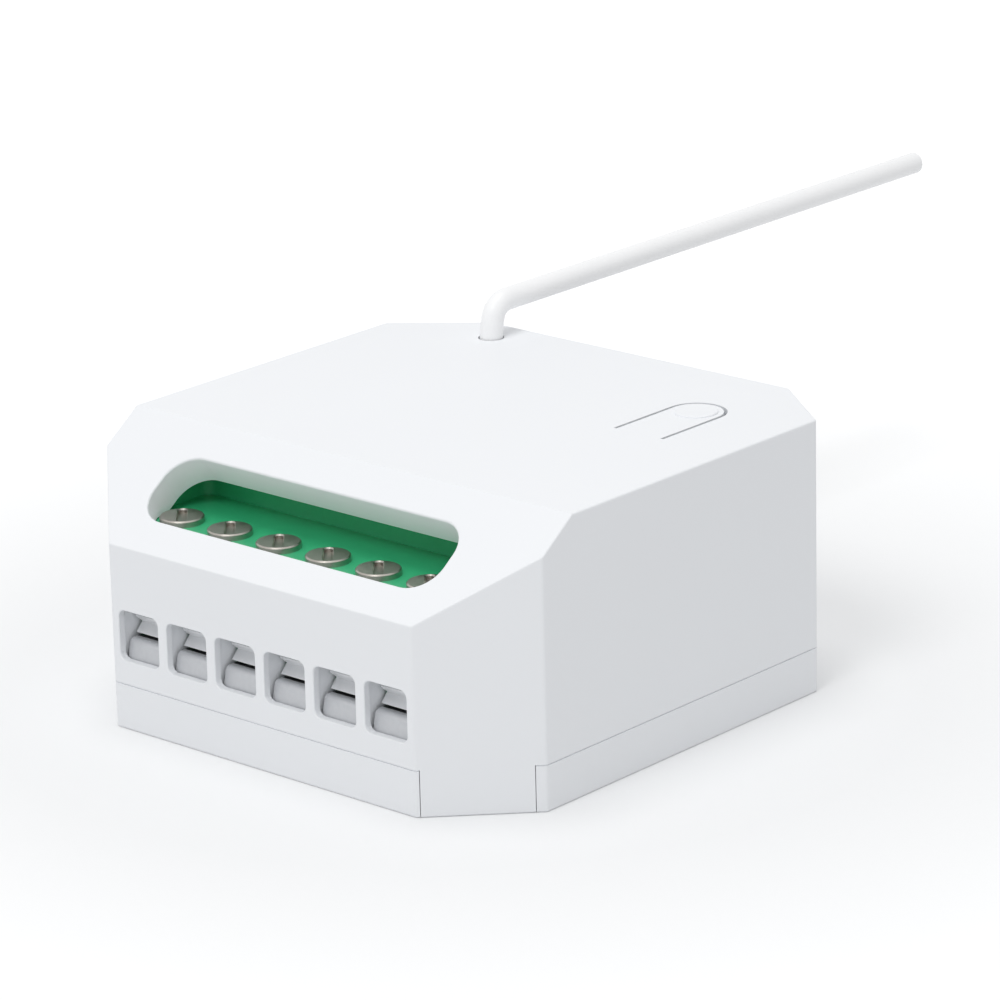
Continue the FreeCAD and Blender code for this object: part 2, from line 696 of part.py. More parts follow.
def switch_body():
    half = SWITCH_SIDE / 2
    x, y = BUTTON_X, back(BUTTON_CENTRE)
    case = box(x - half, x + half, y - half, y + half, BOARD_TOP, BOARD_TOP + SWITCH_HEIGHT)
    upright = [e for e in case.Edges if abs(e.BoundBox.ZLength - SWITCH_HEIGHT) < TINY]
    case = case.makeFillet(SWITCH_CORNER, upright)
    floor = BOARD_TOP + SWITCH_HEIGHT - SWITCH_BORE_DEPTH
    return one(case.cut(plug(x, y, floor, HEIGHT, STEM_RADIUS + RUN_GAP)))


def switch_legs():
    half = SWITCH_SIDE / 2
    legs = []
    for side in (-1, 1):
        for row in (-1, 1):
            x = BUTTON_X + side * (half + LEG_THICK / 2)
            y = back(BUTTON_CENTRE) + row * LEG_SPACING / 2
            legs.append(pin(x, y, LEG_THICK / 2, LEG_WIDTH / 2, BOARD_TOP + LEG_HEIGHT))
    return several(legs)


def switch_plunger():
    low = BOARD_TOP + SWITCH_HEIGHT - SWITCH_BORE_DEPTH + STEM_TRAVEL * 2
    high = HEIGHT - BUTTON_THICK - BOSS_LENGTH - RUN_GAP
    stem = plug(BUTTON_X, back(BUTTON_CENTRE), low, high, STEM_RADIUS)
    rim = [e for e in stem.Edges if abs(e.CenterOfMass.z - high) < TINY]
    return one(stem.makeChamfer(STEM_BEVEL, rim))


def antenna_lead():
    y = back(ANTENNA_BACK)
    tail = plug(ANTENNA_X, y, TAIL_BOTTOM, BOARD_TOP + PAST, ANTENNA_PIN_RADIUS)
    PINS.append((ANTENNA_X, y, ANTENNA_PIN_RADIUS, ANTENNA_PIN_RADIUS))
    return one(plug(ANTENNA_X, y, BOARD_TOP, CEILING, ANTENNA_RADIUS).fuse(tail))


def antenna_wire():
    """A tube along the route's runs, with a round bend at each corner."""
    x, y, high = ANTENNA_X, back(ANTENNA_BACK), HEIGHT + ANTENNA_RISE
    route = [
        Vector(x, y, CEILING),
        Vector(x, y, high - ANTENNA_ELBOW),
        Vector(x, y + ANTENNA_ELBOW, high),
        Vector(x, y + ANTENNA_REACH, high),
    ]
    edges, start = [], route[0]
    for before, corner, after in zip(route, route[1:], route[2:]):
        into, out = corner - before, after - corner
        turn = into.getAngle(out)
        cut = BEND_SHARE * min(into.Length, out.Length)
        radius = cut / math.tan(turn / 2)
        print("antenna bend radius", round(radius, 2), "turn", round(math.degrees(turn), 1))
        a, b = corner - into.normalize() * cut, corner + out.normalize() * cut
        inward = ((a + b) / 2 - corner).normalize()
        middle = corner + inward * (radius / math.cos(turn / 2) - radius)
        edges += [Part.LineSegment(start, a).toShape(), Part.Arc(a, middle, b).toShape()]
        start = b
    edges.append(Part.LineSegment(start, route[-1]).toShape())
    path = Part.Wire(edges)
    ring = Part.Wire([Part.makeCircle(ANTENNA_RADIUS, route[0], Vector(0, 0, 1))])
    tube = path.makePipeShell([ring], True, False)
    print("antenna length", round(path.Length, 2), "volume", round(tube.Volume, 2))
    print("section times length", round(math.pi * ANTENNA_RADIUS**2 * path.Length, 2))
    return tube.Solids[0]


# Relays: u runs back from the relay's front end, h up from the board
class Relay:
    def __init__(self, x):
        self.x = x
        self.front = back(RELAY_BACK)
        self.pole_height = RELAY_BASE + YOKE_THICK + COIL_HEIGHT + POLE_THICK
        self.hinge_height = self.pole_height + ARMATURE_GAP
        self.pivot_u = YOKE_BACK + YOKE_THICK / 2
        self.arm_u = YOKE_BACK + YOKE_THICK + HINGE_GAP
        self.spring_u = self.arm_u + ARM_THICK
        self.contact_height = self.hinge_height - SPRING_LENGTH + CONTACT_RADIUS + CONTACT_EDGE
        self.blade_u = self.spring_u + SPRING_THICK + CONTACT_THICK * 2 + CONTACT_GAP

    def block(self, half, u0, u1, h0, h1):
        x, y, z = self.x, self.front, BOARD_TOP
        return box(x - half, x + half, y + u0, y + u1, z + h0, z + h1)

    def rod(self, u, h0, h1, radius):
        return plug(self.x, self.front + u, BOARD_TOP + h0, BOARD_TOP + h1, radius)

    def disc(self, u0, u1, h, radius):
        start = Vector(self.x, self.front + u0, BOARD_TOP + h)
        return Part.makeCylinder(radius, u1 - u0, start, Vector(0, 1, 0))

    def case(self):
        half = RELAY_WIDTH / 2
        outer = self.block(half, 0, RELAY_LENGTH, RELAY_BASE, RELAY_HEIGHT)
        upright = [e for e in outer.Edges if e.BoundBox.ZLength > RELAY_HEIGHT / 2]
        outer = outer.makeFillet(RELAY_WALL, upright)
        inner = self.block(
            half - RELAY_WALL, RELAY_WALL, RELAY_LENGTH - RELAY_WALL, 0, RELAY_HEIGHT - RELAY_WALL
        )
        return one(outer.cut(inner))

    def base(self):
        plate = self.block(RELAY_WIDTH / 2, 0, RELAY_LENGTH, 0, RELAY_BASE)
        slots = [
            box(x - hx - RUN_GAP, x + hx + RUN_GAP, y - hy - RUN_GAP, y + hy + RUN_GAP, 0, HEIGHT)
            for x, y, hx, hy in self.pins()
        ]
        return one(plate.cut(slots))

    def pins(self):
        """The pins that pass the base: yoke tab, contact blade and the two coil pins."""
        y = self.front
        thick = COIL_PIN_RADIUS
        coil = [(self.x + s * COIL_PIN_X, y + COIL_PIN_BACK, thick, thick) for s in (-1, 1)]
        yoke = (self.x, y + self.pivot_u, PIN_WIDTH / 2, YOKE_THICK / 2)
        blade = (self.x, y + self.blade_u + BLADE_THICK / 2, PIN_WIDTH / 2, BLADE_THICK / 2)
        return coil + [yoke, blade]

    def coil(self):
        low = RELAY_BASE + YOKE_THICK
        high = low + COIL_HEIGHT
        winding = self.rod(COIL_BACK, low, high, COIL_RADIUS)
        flanges = [
            self.rod(COIL_BACK, low, low + FLANGE_THICK, FLANGE_RADIUS),
            self.rod(COIL_BACK, high - FLANGE_THICK, high, FLANGE_RADIUS),
        ]
        bore = self.rod(COIL_BACK, 0, high + PAST, CORE_RADIUS + RUN_GAP)
        return one(winding.fuse(flanges).cut(bore))

    def core(self):
        stem = self.rod(COIL_BACK, RELAY_BASE + RUN_GAP, self.pole_height, CORE_RADIUS)
        pole = self.rod(COIL_BACK, self.pole_height - POLE_THICK, self.pole_height, POLE_RADIUS)
        return one(stem.fuse(pole))

    def yoke(self):
        half = YOKE_WIDTH / 2
        top = self.hinge_height - HINGE_GAP
        upright = self.block(half, YOKE_BACK, YOKE_BACK + YOKE_THICK, RELAY_BASE, top)
        foot = self.block(half, YOKE_BACK - YOKE_REACH, YOKE_BACK, RELAY_BASE, RELAY_BASE + YOKE_THICK)
        hole = self.rod(COIL_BACK, 0, RELAY_HEIGHT / 2, CORE_RADIUS + RUN_GAP)
        y = self.front + self.pivot_u
        tab = pin(self.x, y, PIN_WIDTH / 2, YOKE_THICK / 2, BOARD_TOP + RELAY_BASE + BITE)
        return one(upright.fuse([foot, tab]).cut(hole))

    def armature(self):
        half = ARMATURE_WIDTH / 2
        h = self.hinge_height
        top, end = h + ARMATURE_THICK, self.arm_u + ARM_THICK
        plate = self.block(half, self.pivot_u - ARMATURE_REACH, end, h, top)
        arm = self.block(half, self.arm_u, end, h - ARMATURE_ARM, top)
        return one(plate.fuse(arm))

    def contact_spring(self):
        half = BLADE_WIDTH / 2
        h = self.hinge_height
        u = self.spring_u + SPRING_THICK
        leaf = self.block(half, self.spring_u, u, h - SPRING_LENGTH, h + ARMATURE_THICK)
        rivet = self.disc(u - BITE, u + CONTACT_THICK, self.contact_height, CONTACT_RADIUS)
        return one(leaf.fuse(rivet))

    def fixed_contact(self):
        half = BLADE_WIDTH / 2
        top = self.contact_height + CONTACT_RADIUS + CONTACT_EDGE
        blade = self.block(half, self.blade_u, self.blade_u + BLADE_THICK, RELAY_BASE, top)
        near, far = self.blade_u - CONTACT_THICK, self.blade_u + BITE
        rivet = self.disc(near, far, self.contact_height, CONTACT_RADIUS)
        y = self.front + self.blade_u + BLADE_THICK / 2
        tail = pin(self.x, y, PIN_WIDTH / 2, BLADE_THICK / 2, BOARD_TOP + RELAY_BASE + BITE)
        return one(blade.fuse([rivet, tail]))

    def coil_pins(self):
        y, thick, top = self.front + COIL_PIN_BACK, COIL_PIN_RADIUS, BOARD_TOP + RELAY_BASE * 2
        return several([pin(self.x + s * COIL_PIN_X, y, thick, thick, top) for s in (-1, 1)])


# Radio module and power supply
def radio_board():
    x, y = MIDDLE_X, back(RADIO_BACK)
    w, d = RADIO_WIDTH / 2, RADIO_LENGTH / 2
    plate = box(x - w, x + w, y - d, y + d, BOARD_TOP, BOARD_TOP + RADIO_THICK)
    count = int(RADIO_LENGTH / RADIO_PAD_PITCH) - 1
    notches = [
        plug(x + side * w, y + (i - (count - 1) / 2) * RADIO_PAD_PITCH, 0, HEIGHT, RADIO_PAD_RADIUS)
        for i in range(count)
        for side in (-1, 1)
    ]
    return one(plate.cut(notches))


def radio_shield():
    x, y = MIDDLE_X, back(RADIO_BACK)
    w, d = RADIO_WIDTH / 2 - SHIELD_INSET, RADIO_LENGTH / 2 - SHIELD_INSET * 2
    low = BOARD_TOP + RADIO_THICK
    can = box(x - w, x + w, y - d, y + d, low, low + SHIELD_HEIGHT)
    can = can.makeFillet(SHIELD_WALL, [e for e in can.Edges if e.BoundBox.ZMax > low + SHIELD_WALL])
    t = SHIELD_WALL
    inside = box(x - w + t, x + w - t, y - d + t, y + d - t, low - PAST, low + SHIELD_HEIGHT - t)
    return one(can.cut(inside))


def transformer_core():
    """Two E cores: a frame round the coil with a middle limb through it."""
    x, y, low = MIDDLE_X, back(TRANSFORMER_BACK), BOARD_TOP + LEAD_LIFT
    half, limb = TRANSFORMER_SIDE / 2, TRANSFORMER_LIMB
    frame = box(x - half, x + half, y - limb, y + limb, low, low + TRANSFORMER_HEIGHT)
    gap, yoke = TRANSFORMER_GAP, TRANSFORMER_YOKE
    middles = [x + s * (limb + gap) / 2 for s in (-1, 1)]
    windows = [
        box(m - gap / 2, m + gap / 2, y - half, y + half, low + yoke, low + TRANSFORMER_HEIGHT - yoke)
        for m in middles
    ]
    return one(frame.cut(windows))


def transformer_coil():
    """The wound bobbin round the middle limb, on a foot with four pins."""
    x, y, low = MIDDLE_X, back(TRANSFORMER_BACK), BOARD_TOP + LEAD_LIFT
    limb, gap = TRANSFORMER_LIMB, TRANSFORMER_GAP
    side = limb / 2 + gap - HOLE_GAP
    deep = limb + gap
    edge_gap = TRANSFORMER_YOKE + HOLE_GAP
    z0, z1 = low + edge_gap, low + TRANSFORMER_HEIGHT - edge_gap
    wound = box(x - side, x + side, y - deep, y + deep, z0, z1)
    upright = [e for e in wound.Edges if abs(e.BoundBox.ZLength - (z1 - z0)) < TINY]
    wound = wound.makeFillet(TRANSFORMER_CORNER, upright)
    hole_x, hole_y = limb / 2 + HOLE_GAP, limb + HOLE_GAP
    hole = box(x - hole_x, x + hole_x, y - hole_y, y + hole_y, z0 - PAST, z1 + PAST)
    feet = []
    for end in (-1, 1):
        edge = y + end * (limb + HOLE_GAP)
        far = y + end * TRANSFORMER_END
        feet.append(box(x - side, x + side, min(edge, far), max(edge, far), BOARD_TOP, z0 + BITE))
        row = y + end * (deep + TRANSFORMER_FOOT / 2)
        for s in (-1, 1):
            feet.append(pin(x + s * TRANSFORMER_PINS / 2, row, LEAD_RADIUS, LEAD_RADIUS, BOARD_TOP + BITE))
    return one(wound.cut(hole).fuse(feet))


def can_capacitor(x, y, radius, height, lead):
    """An electrolytic capacitor: rolled groove near its foot and two leads."""
    z, r, low, cut = BOARD_TOP, radius, GROOVE_HEIGHT, GROOVE_SIZE
    profile = [
        (0, 0),
        (r, 0),
        (r, low),
        (r - cut, low + cut),
        (r, low + 2 * cut),
        (r, height - CAN_EDGE),
        (r - CAN_EDGE, height),
        (0, height),
    ]
    can = Part.Face(Part.makePolygon([Vector(x + a, y, z + b) for a, b in profile + profile[:1]]))
    can = can.revolve(Vector(x, y, z), Vector(0, 0, 1), 360)
    leads = [pin(x + s * lead / 2, y, LEAD_RADIUS, LEAD_RADIUS, z + BITE) for s in (-1, 1)]
    return one(can.fuse(leads))


def film_capacitor():
    x, y = FILM_X, back(FILM_BACK)
    w, d = FILM_WIDTH / 2, FILM_THICK / 2
    case = box(x - w, x + w, y - d, y + d, BOARD_TOP, BOARD_TOP + FILM_HEIGHT)
    case = case.makeFillet(FILM_CORNER, [e for e in case.Edges if e.BoundBox.ZMax > BOARD_TOP + FILM_CORNER])
    leads = [pin(x + s * FILM_LEADS / 2, y, LEAD_RADIUS, LEAD_RADIUS, BOARD_TOP + BITE) for s in (-1, 1)]
    return one(case.fuse(leads))


def varistor():
    x, y = VARISTOR_X, back(VARISTOR_BACK)
    z = BOARD_TOP + LEAD_LIFT + VARISTOR_RADIUS
    start = Vector(x, y - VARISTOR_THICK / 2, z)
    disc = Part.makeCylinder(VARISTOR_RADIUS, VARISTOR_THICK, start, Vector(0, 1, 0))
    disc = disc.makeFillet(VARISTOR_ROUND, [e for e in disc.Edges if e.Length > VARISTOR_RADIUS * 6])
    side, step, top = VARISTOR_LEADS / 2, VARISTOR_STEP / 2, z - VARISTOR_RADIUS / 2
    leads = [pin(x + s * side, y + s * step, LEAD_RADIUS, LEAD_RADIUS, top) for s in (-1, 1)]
    return one(disc.fuse(leads))


def fuse_resistor():
    x, y = MIDDLE_X, back(FUSE_BACK)
    z = BOARD_TOP + FUSE_RADIUS
    half = FUSE_LENGTH / 2
    barrel = Part.makeCylinder(FUSE_RADIUS, FUSE_LENGTH, Vector(x - half, y, z), Vector(1, 0, 0))
    barrel = barrel.makeFillet(FUSE_ROUND, [e for e in barrel.Edges if e.Length > FUSE_RADIUS * 6])
    reach = FUSE_LEADS / 2
    wire = Part.makeCylinder(LEAD_RADIUS, FUSE_LEADS, Vector(x - reach, y, z), Vector(1, 0, 0))
    leads = [pin(x + s * reach, y, LEAD_RADIUS, LEAD_RADIUS, z + LEAD_RADIUS) for s in (-1, 1)]
    return one(barrel.fuse([wire] + leads))


def controller_chip():
    x, y = CHIP_X, back(CHIP_BACK)
    w, d = CHIP_LENGTH / 2, CHIP_WIDTH / 2
    low = BOARD_TOP + RUN_GAP
    case = box(x - w, x + w, y - d, y + d, low, low + CHIP_HEIGHT)
    case = case.makeChamfer(CHIP_EDGE, [e for e in case.Edges if e.BoundBox.ZMin > low + CHIP_EDGE])
    side, reach = CHIP_LEG_WIDTH / 2, d + CHIP_LEG
    middles = [x + (i - (CHIP_LEGS - 1) / 2) * CHIP_LEG_PITCH for i in range(CHIP_LEGS)]
    legs = [
        box(m - side, m + side, y - reach, y + reach, BOARD_TOP, BOARD_TOP + CHIP_LEG_THICK)
        for m in middles
    ]
    return one(case.fuse(legs))


def assembly():
    parts = {
        "upper_shell": upper_shell(),
        "base_cover": base_cover(),
        "button_tongue": button_tongue(),
        "terminal_housing": terminal_housing(),
    }
    for i, x in enumerate(POLE_X, 1):
        parts[f"terminal_screw_{i}"] = terminal_screw(x)
        parts[f"clamp_cage_{i}"] = clamp_cage(x)
        parts[f"contact_bar_{i}"] = contact_bar(x)
    for i, x in enumerate(RELAY_X, 1):
        relay = Relay(x)
        parts[f"relay_{i}_case"] = relay.case()
        parts[f"relay_{i}_base"] = relay.base()
        parts[f"relay_{i}_coil"] = relay.coil()
        parts[f"relay_{i}_core"] = relay.core()
        parts[f"relay_{i}_yoke"] = relay.yoke()
        parts[f"relay_{i}_armature"] = relay.armature()
        parts[f"relay_{i}_contact_spring"] = relay.contact_spring()
        parts[f"relay_{i}_fixed_contact"] = relay.fixed_contact()
        parts[f"relay_{i}_coil_pins"] = relay.coil_pins()
    parts["switch_body"] = switch_body()
    parts["switch_legs"] = switch_legs()
    parts["switch_plunger"] = switch_plunger()
    parts["antenna_lead"] = antenna_lead()
    parts["antenna_wire"] = antenna_wire()
    parts["radio_board"] = radio_board()
    parts["radio_shield"] = radio_shield()
    parts["transformer_core"] = transformer_core()
    parts["transformer_coil"] = transformer_coil()
    parts["main_capacitor"] = can_capacitor(
        MAIN_CAP_X, back(MAIN_CAP_BACK), MAIN_CAP_RADIUS, MAIN_CAP_HEIGHT, MAIN_CAP_LEADS
    )
    parts["output_capacitor"] = can_capacitor(
        OUTPUT_CAP_X, back(OUTPUT_CAP_BACK), OUTPUT_CAP_RADIUS, OUTPUT_CAP_HEIGHT, OUTPUT_CAP_LEADS
    )
    parts["film_capacitor"] = film_capacitor()
    parts["varistor"] = varistor()
    parts["fuse_resistor"] = fuse_resistor()
    parts["controller_chip"] = controller_chip()
    parts["circuit_board"] = circuit_board()
    return parts


os.makedirs("parts", exist_ok=True)
for name, shape in assembly().items():
    shape.exportStep(f"parts/{name}.step")
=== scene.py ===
import math

import bmesh
import bpy
from mathutils import Matrix, Vector


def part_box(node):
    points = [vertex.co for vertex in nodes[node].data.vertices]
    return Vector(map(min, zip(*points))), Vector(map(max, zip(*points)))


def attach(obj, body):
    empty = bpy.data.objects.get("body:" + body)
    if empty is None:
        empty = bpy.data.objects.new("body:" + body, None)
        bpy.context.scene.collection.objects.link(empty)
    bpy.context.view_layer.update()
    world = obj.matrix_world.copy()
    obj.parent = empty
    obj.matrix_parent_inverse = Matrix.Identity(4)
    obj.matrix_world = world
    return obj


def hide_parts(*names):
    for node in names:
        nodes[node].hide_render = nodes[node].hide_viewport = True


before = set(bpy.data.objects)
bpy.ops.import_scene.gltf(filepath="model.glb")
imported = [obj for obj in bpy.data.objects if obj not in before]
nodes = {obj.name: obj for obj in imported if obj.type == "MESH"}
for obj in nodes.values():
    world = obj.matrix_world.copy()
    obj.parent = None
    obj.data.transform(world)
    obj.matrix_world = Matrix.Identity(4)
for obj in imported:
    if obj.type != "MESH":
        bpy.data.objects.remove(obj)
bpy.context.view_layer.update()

# The camera stands where the photograph was taken from: in front, a little above,
# and round to the right, with a long lens and a slight tilt.
camera_place = Vector((0.241734, -0.266296, 0.132867))
camera_turn, camera_height, camera_tilt = (math.radians(a) for a in (41.678, 18.112, -1.377))
behind = Vector((
    math.sin(camera_turn) * math.cos(camera_height),
    -math.cos(camera_turn) * math.cos(camera_height),
    math.sin(camera_height),
))
level = Vector((math.cos(camera_turn), math.sin(camera_turn), 0))
upward = behind.cross(level)
right = level * math.cos(camera_tilt) + upward * math.sin(camera_tilt)
up = upward * math.cos(camera_tilt) - level * math.sin(camera_tilt)
camera = bpy.data.objects.new("camera", bpy.data.cameras.new("camera"))
camera.data.lens = 179.84
camera.data.sensor_width = 36
camera.data.clip_start = 0.01
camera.matrix_world = Matrix.Translation(camera_place) @ Matrix((right, up, behind)).transposed().to_4x4()
bpy.context.scene.collection.objects.link(camera)
bpy.context.scene.camera = camera
bpy.context.scene.view_settings.view_transform = "Standard"


# The antenna is a length of stiff insulated wire. It stands up out of its hole, is bent over
# by hand just above the top, and runs straight back.
def linear(colour):
    """A hex sRGB colour as linear red, green, blue and alpha."""
    parts = [int(colour[i:i + 2], 16) / 255 for i in (0, 2, 4)]
    return [c / 12.92 if c <= 0.04045 else ((c + 0.055) / 1.055) ** 2.4 for c in parts] + [1]


def new_material(name):
    """A material and its node tree, still empty."""
    material = bpy.data.materials.new(name)
    material.use_nodes = True
    material.node_tree.nodes.clear()
    return material, material.node_tree


def add_node(tree, kind, settings=()):
    """One node. Each setting is a property or an input, and may be another node's output."""
    made = tree.nodes.new(kind)
    for name, value in dict(settings).items():
        if isinstance(value, bpy.types.NodeSocket):
            tree.links.new(value, made.inputs[name])
        elif hasattr(made, str(name)):
            setattr(made, name, value)
        else:
            made.inputs[name].default_value = value
    return made


def coordinates(tree):
    """The object's own coordinates, in metres."""
    return add_node(tree, "ShaderNodeTexCoord").outputs["Object"]


def noise(tree, place, size, detail, **settings):
    """Cloudy noise from 0 to 1, in patches about size metres across."""
    settings = {"Vector": place, "Scale": 1 / size, "Detail": detail, **settings}
    return add_node(tree, "ShaderNodeTexNoise", settings).outputs["Fac"]


def blend(tree, share, first, second):
    """A colour from first to second, which are hex colours or other nodes' outputs."""
    first, second = (linear(part) if isinstance(part, str) else part for part in (first, second))
    settings = {"data_type": "RGBA", "Factor": share, 6: first, 7: second}
    return add_node(tree, "ShaderNodeMix", settings).outputs[2]


def relief(tree, height, depth, strength=1.0):
    """A drawn relief that is depth metres deep where height goes from 0 to 1."""
    settings = {"Height": height, "Distance": depth, "Strength": strength}
    return add_node(tree, "ShaderNodeBump", settings).outputs[0]


def coat(tree, settings):
    """The material's one shader, joined to its output."""
    shader = add_node(tree, "ShaderNodeBsdfPrincipled", settings)
    add_node(tree, "ShaderNodeOutputMaterial", {"Surface": shader.outputs[0]})


antenna_x, antenna_y = -0.01225, 0.0184
antenna_foot, bend_foot, antenna_high = 0.0203, 0.0233, 0.02445
bend_half, bend_whole, antenna_back = 0.00115, 0.0029, 0.0744
antenna_route = [
    (antenna_x, antenna_y, antenna_foot),
    (antenna_x, antenna_y, bend_foot),
    (antenna_x, antenna_y + bend_half, antenna_high),
    (antenna_x, antenna_y + bend_whole, antenna_high),
    (antenna_x, antenna_back, antenna_high),
]
antenna_thickness = 0.00185
antenna_curve = bpy.data.curves.new("antenna", "CURVE")
antenna_curve.dimensions = "3D"
antenna_curve.bevel_depth = antenna_thickness / 2
antenna_curve.bevel_resolution = 8
antenna_curve.use_fill_caps = True
antenna_curve.resolution_u = 24
antenna_line = antenna_curve.splines.new("NURBS")
antenna_line.points.add(len(antenna_route) - 1)
for point, spot in zip(antenna_line.points, antenna_route):
    point.co = (*spot, 1)
antenna_line.order_u = 3
antenna_line.use_endpoint_u = True
antenna = bpy.data.objects.new("antenna_sleeve", antenna_curve)
bpy.context.scene.collection.objects.link(antenna)

# Extruded PVC insulation: satin, with faint waves of about 0.7 mm, drawn out along the wire.
sleeve_vinyl, tree = new_material("extruded PVC insulation")
drawn_out = add_node(tree, "ShaderNodeMapping", {"Vector": coordinates(tree), "Scale": (1, 0.15, 1)})
waves = noise(tree, drawn_out.outputs[0], size=0.0007, detail=2)
coat(tree, {
    "Base Color": blend(tree, waves, "F9FAFB", "FDFDFE"),
    "Roughness": 0.42,
    "IOR": 1.53,
    "Normal": relief(tree, waves, depth=0.00002, strength=0.1),
})
antenna_curve.materials.append(sleeve_vinyl)
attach(antenna, "housing")
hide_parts("antenna_wire")


# The housing is three white mouldings: the shell, the base cover that clicks into its corners,
# and the button, a tongue cut free on three sides in the shell's top.
def paint(material, *names):
    """Puts the material in every slot of the named pieces."""
    for name in names:
        for slot in nodes[name].material_slots:
            slot.material = material


def between(tree, value, low, high, start=0.0, end=1.0, **settings):
    """low where value is start, high where it is end, and in step between the two."""
    settings = {"Value": value, "From Min": start, "From Max": end, "To Min": low, "To Max": high, **settings}
    return add_node(tree, "ShaderNodeMapRange", settings).outputs[0]


def surface(name, dark, light, drift, grain, gloss, depth, **shader):
    """A finish whose tone drifts slowly and whose roughness and relief have a fine grain.

    drift, grain and depth are in metres; gloss is the lowest and highest roughness.
    """
    material, tree = new_material(name)
    place = coordinates(tree)
    fine = noise(tree, place, grain, detail=3)
    coat(tree, {
        "Base Color": blend(tree, noise(tree, place, drift, detail=2), dark, light),
        "Roughness": between(tree, fine, *gloss),
        "Normal": relief(tree, fine, depth),
        **shader,
    })
    return material


# ABS from a spark-eroded tool: an even grain of about 0.08 mm, drawn at 0.15 mm so that it
# shows, and a very slow change of tone from flow and cooling.
shell_abs = surface("white ABS, spark-eroded grain", "F1F3F6", "F4F6F9",
                    drift=0.025, grain=0.00015, gloss=(0.46, 0.56), depth=1.2e-6, IOR=1.52)
paint(shell_abs, "upper_shell", "base_cover", "button_tongue")


# The circuit board is glass-epoxy laminate with tracks etched in copper and green solder mask
# over all of it. The radio module is a smaller board of the same make, soldered flat on it.
def bands(tree, place, spacing, direction, **settings):
    """Parallel bands, spacing metres apart along direction."""
    settings = {"bands_direction": direction, "Vector": place, "Scale": math.tau / 20 / spacing, **settings}
    return add_node(tree, "ShaderNodeTexWave", settings).outputs["Fac"]


def calculate(tree, operation, *terms):
    """One calculation, whose terms are numbers or other nodes' outputs."""
    settings = {"operation": operation, **dict(enumerate(terms))}
    return add_node(tree, "ShaderNodeMath", settings).outputs[0]


# Tracks run at 1.27 mm pitch under the mask and stand a little proud, where the slow noise
# leaves any; between them the glass cloth's 0.45 mm threads just show.
board_mask, tree = new_material("glass-epoxy laminate, green solder mask")
place = coordinates(tree)
tracks = bands(tree, place, 0.00127, "X", Distortion=0.6)
areas = noise(tree, place, size=0.006, detail=0)
copper = between(tree, calculate(tree, "MULTIPLY", tracks, areas), 0.0, 1.0, start=0.34, end=0.4)
threads = bands(tree, place, 0.00045, "Y")
coat(tree, {
    "Base Color": blend(tree, copper, blend(tree, threads, "0F4A2A", "125230"), "1C6E42"),
    "Roughness": 0.3,
    "IOR": 1.55,
    "Normal": relief(tree, copper, depth=0.00003),
})
paint(board_mask, "circuit_board", "radio_board")

# Black mouldings: the push switch under the button, its stem and the relays' bases. Glass-filled
# nylon is matt, with fibre specks of about 0.2 mm.
black_nylon = surface("black glass-filled nylon", "1A1A1C", "232326",
                      drift=0.002, grain=0.0002, gloss=(0.5, 0.64), depth=2e-6, IOR=1.53)
paint(black_nylon, "switch_body", "switch_plunger", "relay_1_base", "relay_2_base")

# Tinned steel: the switch's legs, the relays' coil pins and the radio module's drawn can.
# The tin is bright, with soft flow marks about half a millimetre across.
tinned_steel = surface("tinned steel", "C6C8CA", "D4D6D7",
                       drift=0.0005, grain=0.0002, gloss=(0.24, 0.38), depth=2e-6, Metallic=1.0)
paint(tinned_steel, "switch_legs", "relay_1_coil_pins", "relay_2_coil_pins", "radio_shield")


# Bodies with bare ends: a coat, sleeve, moulding or winding in the middle of the piece, and
# what sticks out of it beyond, such as tinned leads.
def ended(name, body, ends, axis, middle, half, turns=None):
    """body and ends are (dark, light, metallic, roughness); middle and half are along the axis.

    turns, in metres, is the spacing of a winding's turns.
    """
    body_dark, body_light, body_metal, body_rough = body
    end_dark, end_light, end_metal, end_rough = ends
    material, tree = new_material(name)
    place = coordinates(tree)
    along = add_node(tree, "ShaderNodeSeparateXYZ", {"Vector": place}).outputs[axis]
    inside = calculate(tree, "COMPARE", along, middle, half)
    if turns:
        grain, depth = bands(tree, place, turns, axis), 0.00004
    else:
        grain, depth = noise(tree, place, size=0.0004, detail=3), 0.000003
    end_tone = blend(tree, grain, end_dark, end_light)
    body_tone = blend(tree, grain, body_dark, body_light)
    coat(tree, {
        "Base Color": blend(tree, inside, end_tone, body_tone),
        "Metallic": between(tree, inside, end_metal, body_metal),
        "Roughness": between(tree, inside, end_rough, body_rough),
        "Normal": relief(tree, grain, depth),
    })
    return material


tinned_ends = ("C4C6C8", "D2D4D5", 1.0, 0.32)
board_top = 0.0033

# The two relays switch the load. Each has a blue polyester cover, a coil of enamelled copper
# on a moulded bobbin, and iron parts that are zinc plated.
relay_polyester = surface("blue polyester moulding", "1B4CA8", "2257B8",
                          drift=0.004, grain=0.00018, gloss=(0.36, 0.46), depth=1.2e-6, IOR=1.57)
paint(relay_polyester, "relay_1_case", "relay_2_case")
# The coil's wire is 0.06 mm thick, drawn at 0.25 mm so that the turns show.
bobbin_ends = ("CFC7B4", "D8D1C0", 0.0, 0.5)
relay_winding = ended("enamelled copper winding", ("8A3F1E", "C86A38", 0.85, 0.34), bobbin_ends,
                      "Z", middle=0.0096, half=0.0036, turns=0.00025)
paint(relay_winding, "relay_1_coil", "relay_2_coil")
plated_iron = surface("zinc-plated soft iron", "B9BBBA", "C8C9C5",
                      drift=0.0012, grain=0.00025, gloss=(0.32, 0.48), depth=3e-6, Metallic=1.0)
paint(plated_iron, *(f"relay_{n}_{piece}" for n in (1, 2) for piece in ("core", "yoke", "armature")))
